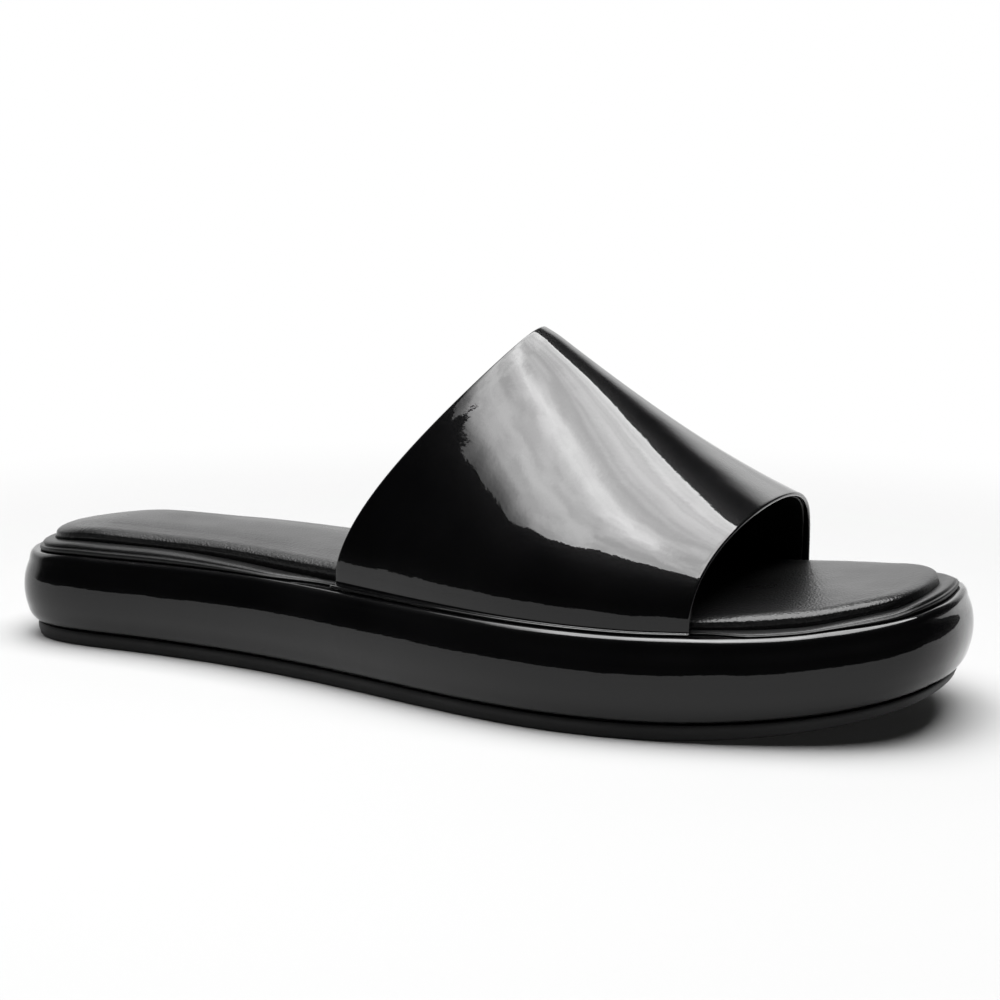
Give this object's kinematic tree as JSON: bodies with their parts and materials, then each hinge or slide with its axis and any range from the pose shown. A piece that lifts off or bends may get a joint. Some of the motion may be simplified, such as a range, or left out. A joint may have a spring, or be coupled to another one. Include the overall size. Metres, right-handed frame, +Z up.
{
  "type": "slide sandal",
  "caption": "Flatform slide sandal with a wide glossy strap over the instep, a padded insole and a bulging wrapped midsole on a thin outsole.",
  "frame": {"origin": "on the floor under the middle of the shoe's bounding box", "axes": "+X towards the toe, +Y towards the medial side, +Z up from the floor"},
  "size_m": [0.272, 0.1026, 0.0943],
  "materials": {
    "outsole_rubber": "matte moulded rubber",
    "midsole_patent": "high gloss patent",
    "rim_leather": "fine grain, semi matte",
    "insole_leather": "fine grain, semi matte",
    "upper_patent": "high gloss patent"
  },
  "bodies": {
    "root": {"outsole": "outsole_rubber", "midsole": "midsole_patent", "insole_rim": "rim_leather", "insole": "insole_leather", "upper": "upper_patent"}
  },
  "joints": []
}
